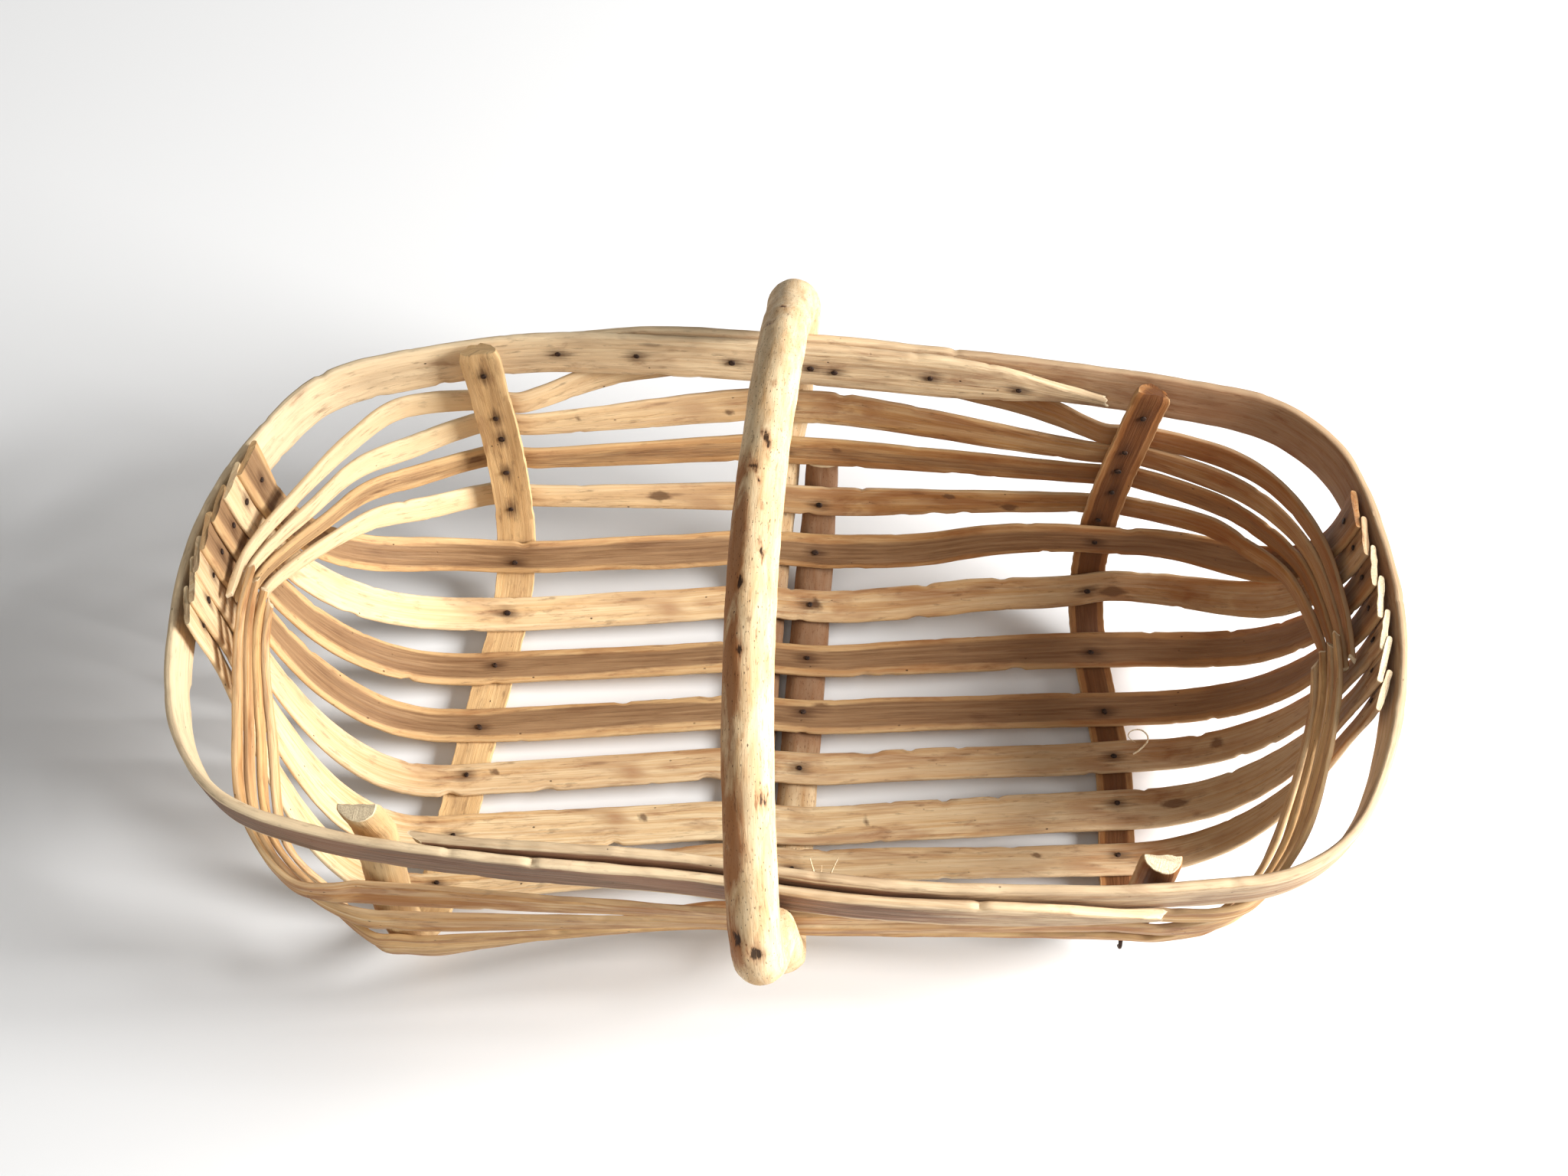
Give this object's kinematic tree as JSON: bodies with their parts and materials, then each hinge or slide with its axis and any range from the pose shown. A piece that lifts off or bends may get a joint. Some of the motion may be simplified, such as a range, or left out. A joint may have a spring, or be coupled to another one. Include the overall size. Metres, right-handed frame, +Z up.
{
  "type": "harvest basket",
  "caption": "Long open trug basket of split wooden laths with rounded ends and one bent round-pole handle across its middle.",
  "frame": {"origin": "centre of the bounding box at the bottom, on the surface the basket stands on", "axes": "+X along the basket, from the more rounded, wider end to the other, +Y towards the long side whose rim lap has its outer strip running from the +X end, +Z up"},
  "size_m": [0.6778, 0.4812, 0.3713],
  "materials": {
    "rim_wood": "weathered split lath",
    "rib_wood": "rough split lath",
    "split_wood": "pale split face",
    "bark_wood": "lath with bark left on one face",
    "pole_wood": "debarked round pole"
  },
  "bodies": {
    "root": {"rim_left": "rim_wood", "rim_right": "rim_wood", "rib_left": "rib_wood", "rib_right": "rib_wood", "handle": "pole_wood", "floor_slat_1": "bark_wood", "floor_slat_2": "split_wood", "floor_slat_3": "bark_wood", "floor_slat_4": "bark_wood", "floor_slat_5": "split_wood", "floor_slat_6": "split_wood", "floor_slat_7": "split_wood", "back_slat_1": "split_wood", "back_slat_2": "split_wood", "back_slat_3": "bark_wood", "back_slat_4": "split_wood", "front_slat_1": "split_wood", "front_slat_2": "split_wood", "front_slat_3": "bark_wood", "front_slat_4": "split_wood"}
  },
  "joints": []
}
